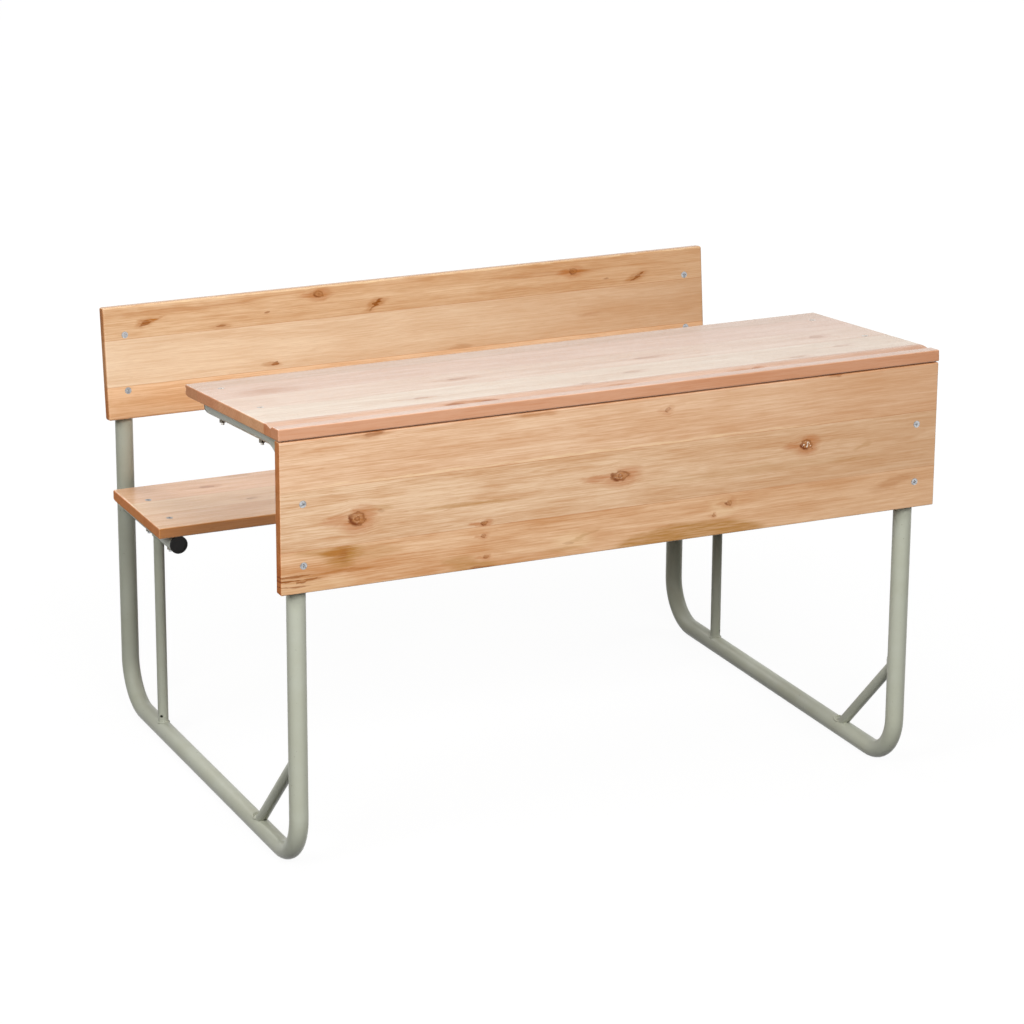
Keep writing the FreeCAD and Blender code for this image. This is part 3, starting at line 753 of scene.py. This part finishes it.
@dataclass(frozen=True)
class TubeAxis:
    """The middle line of a tube: a point on it, its direction and its radius, in metres."""

    point: np.ndarray
    direction: np.ndarray
    radius: float

    def meeting(self, host: TubeAxis, steps: int) -> np.ndarray:
        """The closed curve in which this tube's outside first meets a host tube.

        A point of this tube is its axis point, plus its radius along a spoke, plus t along its direction.
        The host's surface is where the part of that point square to the host's axis is as long as the host's
        radius, which is a quadratic in t. The smaller root is where the tube, going along its direction,
        enters the host.

        Args:
            host: The tube that this one is welded to.
            steps: The number of points round the curve.

        Returns:
            The points, one row each.
        """
        spokes = self.spokes(steps)
        start = self.point + self.radius * spokes
        square = np.eye(3) - np.outer(host.direction, host.direction)
        offset = (start - host.point) @ square
        heading = self.direction @ square
        half = offset @ heading / (heading @ heading)
        rest = (np.sum(offset * offset, axis=1) - host.radius**2) / (heading @ heading)
        root = np.sqrt(np.maximum(half * half - rest, 0.0))
        return start + (-half - root)[:, None] * self.direction

    def spokes(self, steps: int) -> np.ndarray:
        """Unit vectors square to the axis, evenly round it, one row each."""
        turns = np.linspace(0, 2 * np.pi, steps, endpoint=False)[:, None]
        first = np.cross(self.direction, (1.0, 0.0, 0.0))
        first /= np.linalg.norm(first)
        return np.cos(turns) * first + np.sin(turns) * np.cross(self.direction, first)


@dataclass
class WeldedFrame:
    """One side frame: its four tubes, and the weld beads that hold them together.

    The bead is the radius of a weld's round profile and the ripple is what its ripples add, in metres. They
    start a stagger further on at each weld. The bead keeps clear of a vent and thins over the fade beside
    it, all in radians, to the thinnest share. It stands out of its corner by the stand, or sinks by the sink
    where it is thin, as shares of the bead.
    """

    side: str
    bead: float = 1.7 * MILLIMETRE
    ripple: float = 0.35 * MILLIMETRE
    ripples: int = 17
    stagger: float = 1.3
    vent: float = 0.45
    fade: float = 0.35
    thinnest: float = 0.06
    stand: float = 0.25
    sink: float = 0.5
    path_steps: int = 170
    profile_steps: int = 12

    def tubes(self) -> dict[str, TubeAxis]:
        """Finds the middle lines of the tubes from the boxes of their CAD nodes.

        Returns:
            The straight runs by name, each pointing the way that its weld lies.
        """
        low, high = map(np.array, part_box(f"{self.side}_main_tube"))
        rail_low, rail_high = map(np.array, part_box(f"{self.side}_seat_rail"))
        strut_low, strut_high = map(np.array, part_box(f"{self.side}_seat_strut"))
        brace_low, brace_high = map(np.array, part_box(f"{self.side}_brace"))
        middle = (low[0] + high[0]) / 2
        radius = (high[0] - low[0]) / 2
        thin = (strut_high[0] - strut_low[0]) / 2
        strut = (strut_low + strut_high) / 2
        brace = (brace_low + brace_high) / 2
        slope = np.array((0.0, 1.0, -1.0)) / math.sqrt(2)
        rail = np.array((middle, rail_low[1], (rail_low[2] + rail_high[2]) / 2))
        back = np.array((0.0, 1.0, 0.0))
        up = np.array((0.0, 0.0, 1.0))
        return {
            "runner": TubeAxis(np.array((middle, 0.0, low[2] + radius)), back, radius),
            "leg": TubeAxis(np.array((middle, low[1] + radius, 0.0)), up, radius),
            "upright": TubeAxis(np.array((middle, rail_high[1], 0.0)), up, radius),
            "rail": TubeAxis(rail, back, radius),
            "strut_down": TubeAxis(strut, -up, thin),
            "strut_up": TubeAxis(strut, up, thin),
            "brace_down": TubeAxis(brace, slope, thin),
            "brace_up": TubeAxis(brace, -slope, thin),
        }

    def bead_grid(self, thin: TubeAxis, host: TubeAxis, turn: float, opening: float) -> np.ndarray:
        """The surface of one weld bead, as rings of points along the weld.

        A round profile is carried along the curve in which the tubes meet. Its centre stands a little out of
        the corner, away from the thin tube's axis, and its radius rises and falls in even ripples. Where the
        tube has a vent, which lies at the first spoke, the bead sinks into the tube's wall.

        Args:
            thin: The tube that ends here.
            host: The tube that it ends on.
            turn: Where the ripples start, in radians.
            opening: How far the bead is clear of the vent, in radians each way, or 0 if there is none.

        Returns:
            The points: steps along the weld, steps round the profile, three numbers.
        """
        path = thin.meeting(host, self.path_steps)
        ahead = np.roll(path, -1, axis=0) - np.roll(path, 1, axis=0)
        ahead /= np.linalg.norm(ahead, axis=1, keepdims=True)
        out = thin.spokes(self.path_steps)
        out = out - np.sum(out * ahead, axis=1, keepdims=True) * ahead
        out /= np.linalg.norm(out, axis=1, keepdims=True)
        aside = np.cross(ahead, out)
        around = np.linspace(0, 2 * np.pi, self.path_steps, endpoint=False)
        wave = np.abs(np.sin(around * self.ripples / 2 + turn)) + 0.25 * np.sin(around * 3 + 2 * turn)
        turned = np.minimum(around, 2 * np.pi - around)
        share = np.ones(self.path_steps)
        if opening:
            share = np.clip((turned - opening) / self.fade, self.thinnest, 1.0)
        size = (share * (self.bead + self.ripple * wave))[:, None, None]
        angles = np.linspace(0, 2 * np.pi, self.profile_steps, endpoint=False)[None, :, None]
        profile = np.cos(angles) * out[:, None] + np.sin(angles) * aside[:, None]
        rise = (self.stand * share - self.sink * (1.0 - share)) * self.bead
        return path[:, None] + rise[:, None, None] * out[:, None] + size * profile

    def build(self, paint: bpy.types.Material) -> bpy.types.Object:
        """Builds the frame's weld beads as one piece.

        Args:
            paint: The frame's paint.

        Returns:
            The piece.
        """
        tubes = self.tubes()
        welds = (
            ("strut_down", "runner", 0.0),
            ("strut_up", "rail", 0.0),
            ("brace_down", "runner", self.vent),
            ("brace_up", "leg", 0.0),
            ("rail", "upright", 0.0),
        )
        grids = [
            self.bead_grid(tubes[thin], tubes[host], self.stagger * number, opening)
            for number, (thin, host, opening) in enumerate(welds)
        ]
        piece = closed_rings(f"{self.side}_weld_beads", np.stack(grids))
        dress(piece, paint)
        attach(piece, "root")
        LOG.info("%s frame: %d weld beads built", self.side, len(grids))
        return piece

    def dress(self, nodes: Mapping[str, bpy.types.Object], paint: bpy.types.Material) -> None:
        """Paints the frame's tubes.

        Args:
            nodes: The CAD nodes by name.
            paint: The frame's paint.
        """
        for tube in ("main_tube", "seat_rail", "seat_strut", "brace"):
            dress(nodes[f"{self.side}_{tube}"], paint)
            LOG.info("%s frame: %s painted", self.side, tube)


def closed_rings(name: str, grids: np.ndarray) -> bpy.types.Object:
    """Makes one mesh of several surfaces that close in both directions, like a ring's.

    Each square joins a point to the next one along the ring and to the next one round its profile, counted
    in a circle, so that the last joins the first.

    Args:
        name: The piece's name.
        grids: The points: surface, step along, step round, three numbers.

    Returns:
        The piece, shaded smooth.
    """
    count, along, around, _ = grids.shape
    number = np.arange(count * along * around).reshape(count, along, around)
    beyond = np.roll(number, -1, axis=1)
    faces = np.stack((number, np.roll(number, -1, axis=2), np.roll(beyond, -1, axis=2), beyond), axis=-1)
    mesh = bpy.data.meshes.new(name)
    mesh.from_pydata(grids.reshape(-1, 3), [], faces.reshape(-1, 4).tolist())
    mesh.shade_smooth()
    piece = bpy.data.objects.new(name, mesh)
    bpy.context.scene.collection.objects.link(piece)
    return piece


@dataclass(frozen=True)
class Fittings:
    """The bolts, nuts and end plugs, by their CAD nodes."""

    boards: tuple[str, ...] = ("top", "panel", "seat", "backrest")
    plugs: tuple[str, ...] = ("desk_rail_plugs", "upright_plugs", "seat_rail_plugs")
    # The top's bolt heads get a paler zinc, a painted reflection of the bright room on them
    top_bolt_sheen: ZincFinish = ZincFinish(tone(216, 211, 204), tone(172, 167, 160))
    bright: ZincFinish = ZincFinish(tone(198, 199, 200), tone(112, 113, 116))
    dull: ZincFinish = ZincFinish(tone(128, 120, 108), tone(76, 70, 62))

    def dress(self, nodes: Mapping[str, bpy.types.Object]) -> None:
        """Gives the metal its zinc and the plugs their plastic.

        Args:
            nodes: The CAD nodes by name.
        """
        top_bolt_sheen = self.top_bolt_sheen.material("polished_zinc")
        bright = self.bright.material("bright_zinc")
        dull = self.dull.material("dull_zinc")
        plastic = PlasticFinish().material("black_plastic")
        for board in self.boards:
            # the top's bolts take the paler zinc with its painted reflection
            dress(nodes[f"{board}_bolts"], top_bolt_sheen if board == "top" else bright)
            dress(nodes[f"{board}_nuts"], dull)
            LOG.info("fittings: %s bolts and nuts plated", board)
        for plug in self.plugs:
            dress(nodes[plug], plastic)
            LOG.info("fittings: %s moulded", plug)


@dataclass(frozen=True)
class Lamp:
    """A soft square lamp: where it hangs, what it is aimed at, its side in metres and its power in watts."""

    name: str
    place: tuple[float, float, float]
    aim: tuple[float, float, float]
    side: float
    power: float

    def hang(self) -> None:
        """Hangs the lamp."""
        light = bpy.data.lights.new(self.name, "AREA")
        light.shape = "SQUARE"
        light.size = self.side
        light.energy = self.power
        lamp = bpy.data.objects.new(self.name, light)
        lamp.location = self.place
        lamp.rotation_euler = (Vector(self.aim) - Vector(self.place)).to_track_quat("-Z", "Y").to_euler()
        bpy.context.scene.collection.objects.link(lamp)
        LOG.info("studio: %s hung", self.name)


@dataclass(frozen=True)
class Studio:
    """A white room with a pale floor and soft lamps.

    The floor's glow rises from the near one to white between the two reaches, in metres, because the lamps
    light it near the desk.
    """

    floor_reach: float = 40.0
    floor_grey: float = 0.07
    near_glow: float = 0.94
    near_reach: float = 0.6
    far_reach: float = 3.2
    sky: float = 0.04
    sky_tint: Colour = (1.0, 0.82, 0.56, 1.0)
    lamps: tuple[Lamp, ...] = (
        Lamp("overhead_lamp", (-0.6, -0.2, 3.2), (0.0, 0.0, 0.5), 2.0, 22.0),
        Lamp("front_lamp", (-0.3, -4.2, 2.7), (0.0, 0.0, 0.5), 1.6, 155.0),
        Lamp("left_lamp", (-3.2, -2.0, 2.6), (0.0, 0.0, 0.4), 1.6, 84.0),
        Lamp("right_lamp", (4.0, 0.8, 2.2), (0.0, 0.0, 0.5), 2.0, 48.0),
        Lamp("rear_lamp", (-1.0, 3.4, 3.2), (0.0, 0.0, 0.5), 2.0, 60.0),
    )

    def build(self) -> None:
        """Builds the floor, the sky and the lamps."""
        self._floor()
        self._sky()
        for lamp in self.lamps:
            lamp.hang()

    def _floor(self) -> None:
        """Lays a floor that looks white where no shadow falls on it, out of the lamps' reach as well."""
        reach = self.floor_reach
        corners = [(-reach, -reach, 0.0), (reach, -reach, 0.0), (reach, reach, 0.0), (-reach, reach, 0.0)]
        mesh = bpy.data.meshes.new("studio_floor")
        mesh.from_pydata(corners, [], [(0, 1, 2, 3)])
        floor = bpy.data.objects.new("studio_floor", mesh)
        bpy.context.scene.collection.objects.link(floor)
        graph = NodeGraph(bpy.data.materials.new("studio_floor"))
        place = graph.node("ShaderNodeTexCoord").outputs["Object"]
        away = graph.length(place).rise(self.near_reach, self.far_reach)
        shine = graph.mix(away, grey(self.near_glow), grey(1.0))
        glow = graph.node("ShaderNodeEmission", {}, {"Color": shine})
        unlit = graph.node("ShaderNodeEmission", {}, {"Strength": 0.0})
        sides = {0: graph.seen(), 1: unlit.outputs[0], 2: glow.outputs[0]}
        shown = graph.node("ShaderNodeMixShader", {}, sides)
        matt = graph.node("ShaderNodeBsdfDiffuse", {}, {"Color": grey(self.floor_grey)})
        both = graph.node("ShaderNodeAddShader", {}, {0: matt.outputs[0], 1: shown.outputs[0]})
        graph.node("ShaderNodeOutputMaterial", {}, {"Surface": both.outputs[0]})
        dress(floor, graph.owner)
        LOG.info("studio: floor laid")

    def _sky(self) -> None:
        """Makes the room white where it is seen, and a softer light where it lights."""
        world = bpy.data.worlds.new("studio_room")
        graph = NodeGraph(world)
        lit = graph.node("ShaderNodeBackground", {}, {"Color": self.sky_tint, "Strength": self.sky})
        white = graph.node("ShaderNodeBackground", {}, {"Color": grey(1.0)})
        sides = {0: graph.seen(), 1: lit.outputs[0], 2: white.outputs[0]}
        mixed = graph.node("ShaderNodeMixShader", {}, sides)
        graph.node("ShaderNodeOutputWorld", {}, {"Surface": mixed.outputs[0]})
        bpy.context.scene.world = world
        LOG.info("studio: room lit")


@dataclass(frozen=True)
class PhotoCamera:
    """The photograph's camera: its place in metres, its angles in degrees and its focal length in pixels."""

    place: tuple[float, float, float] = (-2.4915, -5.4454, 2.3355)
    azimuth: float = 24.720
    pitch: float = 16.875
    roll: float = 0.287
    focal: float = 3551.7
    shift: float = -0.05
    sensor: float = 36.0

    def build(self) -> None:
        """Sets the camera up and makes it the scene's own."""
        turn, dip, roll = (math.radians(angle) for angle in (self.azimuth, self.pitch, self.roll))
        ahead = Vector((math.sin(turn) * math.cos(dip), math.cos(turn) * math.cos(dip), -math.sin(dip)))
        level = Vector((math.cos(turn), -math.sin(turn), 0.0))
        above = level.cross(ahead)
        right = math.cos(roll) * level + math.sin(roll) * above
        upward = math.cos(roll) * above - math.sin(roll) * level
        axes = Matrix((right, upward, -ahead)).transposed()
        data = bpy.data.cameras.new("photo_camera")
        data.sensor_width = self.sensor
        data.lens = self.focal / PICTURE_SIDE * self.sensor
        data.shift_y = self.shift
        camera = bpy.data.objects.new("photo_camera", data)
        camera.matrix_world = Matrix.Translation(self.place) @ axes.to_4x4()
        bpy.context.scene.collection.objects.link(camera)
        bpy.context.scene.camera = camera
        LOG.info("camera: set up")


# Marks by their kind, of which a dark streak has the sharpest border
knot = partial(Mark, MarkKind.KNOT)
dark = partial(Mark, MarkKind.DARK, soft=0.5)
brown = partial(Mark, MarkKind.BROWN)
olive = partial(Mark, MarkKind.OLIVE)
pale = partial(Mark, MarkKind.PALE)


def desk_top() -> Board:
    """The desk top, from its front lip to its rear strip."""
    groove = (
        brown(345, 393, 55, 9, 0.9),
        dark(322, 395, 16, 6, 0.9),
        dark(378, 395, 18, 6, 0.9),
        brown(615, 396, 34, 8, 0.8),
        dark(612, 397, 10, 5, 0.8),
        brown(845, 397, 34, 8, 0.8),
        knot(868, 396, 9, 6, 0.9, resin=0.7),
        brown(1180, 392, 24, 9, 0.5),
    )
    first = (
        knot(290, 327, 13, 5, 0.5),
        knot(675, 319, 15, 6, 0.4),
        knot(1080, 310, 16, 6, 0.4),
        knot(970, 358, 13, 6, 0.4),
        knot(567, 366, 9, 5, 0.4),
    )
    second = (knot(405, 212, 18, 7, 0.5), knot(755, 219, 24, 6, 0.5), knot(1085, 212, 13, 8, 0.5))
    third = (brown(98, 130, 56, 30, 0.7, soft=1.8),)
    # The top's staves are paler and creamier than the other boards' wood: partly their own tone, partly a
    # painted sheen of the lacquer's reflection
    finish = partial(StaveFinish, end=(255, 211, 174))
    return Board(
        "top",
        -4.9,
        {
            "top_lip_strip": finish((213, 176, 153), 13, 1.0, (520, 30), drift=0.3, edge=(255, 244, 231)),
            "top_groove_strip": finish((208, 166, 138), 14, 2.0, (300, 40), drift=0.5, marks=groove),
            "top_stave_1": finish((224, 202, 180), 12, 3.0, (330, 24), drift=0.4, streaks=0.3, marks=first),
            "top_stave_2": finish((221, 191, 168), 13, 4.0, (150, 46), drift=0.5, streaks=0.4, marks=second),
            "top_stave_3": finish((219, 185, 163), 12, 5.0, (120, 60), drift=0.05, streaks=0.4, marks=third),
            "top_rear_strip": finish((208, 175, 151), 12, 6.0, (-60, 30), streaks=0.4),
        },
    )


def modesty_panel() -> Board:
    """The modesty panel, from its lower edge up."""
    lower = (
        olive(104, 197, 34, 24, 0.9, soft=1.2),
        olive(70, 187, 44, 9, 0.7, soft=1.4),
        brown(98, 192, 24, 14, 0.6, soft=1.4),
        dark(108, 198, 10, 14, 0.4, soft=1.4),
        brown(112, 224, 46, 4, 0.9),
        olive(150, 198, 60, 14, 0.4),
        dark(24, 224, 34, 2.0, 1.0),
        dark(12, 231, 26, 1.6, 1.0),
        dark(44, 232, 22, 1.2, 0.8, -8),
        dark(18, 240, 30, 1.4, 0.9),
        olive(28, 229, 40, 8, 0.3),
        brown(45, 226, 40, 9, 0.3),
        olive(308, 236, 30, 10, 0.6),
        olive(338, 248, 40, 8, 0.8),
        dark(350, 251, 20, 3, 0.8),
        olive(730, 257, 145, 34, 1.0, soft=0.3),
        brown(1115, 203, 44, 11, 0.5, -12),
        pale(790, 206, 28, 17, 0.5),
        pale(512, 228, 36, 17, 0.5),
        pale(60, 244, 70, 12, 0.5),
        olive(496, 240, 34, 4, 0.5),
        olive(534, 221, 26, 4, 0.5, -20),
        dark(505, 231, 9, 2, 0.4),
        knot(352, 198, 5, 3, 0.6),
        knot(355, 234, 5, 3, 0.7),
        knot(800, 199, 6, 5, 0.7),
        knot(772, 217, 3, 3, 0.6),
    )
    middle = (
        knot(131, 140, 15, 12, 0.95, resin=0.1),
        knot(597, 127, 17, 9, 0.95, resin=0.25),
        knot(945, 115, 11, 9, 1.0, resin=1.0),
        knot(352, 176, 7, 4, 0.85),
        dark(170, 131, 5, 2.5, 0.6),
        olive(165, 127, 28, 6, 0.5),
        olive(325, 141, 90, 3, 0.6),
        olive(1055, 131, 15, 6, 0.5, -25),
        olive(850, 147, 200, 9, 0.3),
        olive(1045, 152, 60, 3, 0.4),
    )
    upper = (
        dark(157, 2, 20, 5, 0.7),
        brown(157, 4, 40, 7, 0.5),
        brown(445, 4, 38, 6, 0.7),
        dark(1000, 1, 16, 3, 0.6),
        knot(683, 24, 5, 5, 0.5),
        pale(500, 80, 520, 2, 0.7),
    )
    finish = partial(StaveFinish, calm=0.5, gloss=0.25)
    return Board(
        "panel",
        90.0,
        {
            "panel_lower_stave": finish((218, 171, 128), 24, 7.0, (246, 16), drift=-0.15, marks=lower),
            "panel_middle_stave": finish((217, 176, 137), 24, 8.0, (128, 30), drift=0.3, marks=middle),
            "panel_upper_stave": finish(
                (221, 178, 140), 20, 9.0, (-30, 60), drift=0.4, streaks=0.3, rings=0.15, marks=upper
            ),
        },
    )


def seat() -> Board:
    """The seat, from its front edge back."""
    middle = (knot(210, 148, 9, 4, 0.45), knot(770, 130, 13, 8, 0.8))
    rear = (brown(235, 10, 28, 7, 0.5), knot(160, 52, 13, 5, 0.5), knot(900, 50, 16, 9, 0.8))
    # The seat's staves are their wood's tone, lightened as painted light that makes up for the desk's shade
    # on the seat
    return Board(
        "seat",
        0.0,
        {
            # The front edge's deeper orange tint is painted warm shade, where the edge sits in the desk's
            # shadow
            "seat_front_stave": StaveFinish((235, 193, 153), 14, 10.0, (210, 30), edge=(255, 215, 160)),
            "seat_middle_stave": StaveFinish((238, 200, 161), 14, 11.0, (60, 40), marks=middle),
            "seat_rear_stave": StaveFinish((240, 194, 156), 15, 12.0, (50, 22), marks=rear),
        },
    )


def backrest() -> Board:
    """The backrest, from its lower edge up."""
    middle = (
        brown(312, 134, 18, 5, 0.6),
        dark(320, 133, 8, 2.5, 0.9, -20),
        brown(955, 108, 28, 5, 0.4),
        brown(690, 142, 28, 5, 0.4),
        brown(1130, 105, 300, 60, 0.2, soft=1.9),
    )
    upper = (
        brown(78, 34, 20, 8, 0.7, -20),
        dark(78, 36, 10, 4, 1.0, -30),
        brown(96, 28, 20, 3, 0.5, -15),
        brown(412, 15, 26, 9, 0.5),
        knot(412, 15, 10, 6, 0.7),
        brown(520, 45, 28, 8, 0.6, -20),
        dark(522, 45, 18, 3, 1.0, -35),
        dark(310, 38, 8, 2, 0.7),
        brown(218, 54, 22, 5, 0.5),
        dark(218, 53, 11, 2, 0.9),
        brown(925, 23, 30, 8, 0.4),
        knot(925, 23, 9, 6, 0.7),
        brown(1055, 45, 28, 9, 0.6, -20),
        dark(1058, 44, 17, 3, 1.0, -30),
        dark(992, 42, 5, 2, 0.7),
        brown(150, 16, 150, 5, 0.4),
        brown(870, 22, 120, 5, 0.4),
        # A pale line along the upper edge: painted highlight on the rounded arris
        pale(600, 0, 900, 3, 0.9),
    )
    finish = partial(StaveFinish, gloss=0.25, end=(226, 190, 160))
    return Board(
        "backrest",
        84.0,
        {
            "backrest_lower_stave": finish((231, 183, 139), 16, 13.0, (260, 30), edge=(255, 245, 232)),
            "backrest_middle_stave": finish(
                (225, 187, 149),
                26,
                14.0,
                (20, 70),
                contrast=0.42,
                calm=0.2,
                drift=0.65,
                streaks=0.25,
                rings=0.12,
                marks=middle,
            ),
            "backrest_upper_stave": finish(
                (217, 173, 130), 24, 15.0, (10, 26), contrast=0.75, calm=0.3, drift=0.4, marks=upper
            ),
        },
    )


def main() -> None:
    """Loads the frame and builds the looks round it."""
    logging.basicConfig(level=logging.INFO, format="%(name)s %(message)s")
    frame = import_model()
    nodes = frame["nodes"]
    bpy.context.scene.view_settings.view_transform = "Standard"

    PhotoCamera().build()
    Studio().build()
    for board in (desk_top(), modesty_panel(), seat(), backrest()):
        board.dress(nodes)
    paint = PaintFinish().material("sage_paint")
    for side in ("left", "right"):
        welded = WeldedFrame(side)
        welded.dress(nodes, paint)
        welded.build(paint)
    Fittings().dress(nodes)


if __name__ == "__main__":
    main()
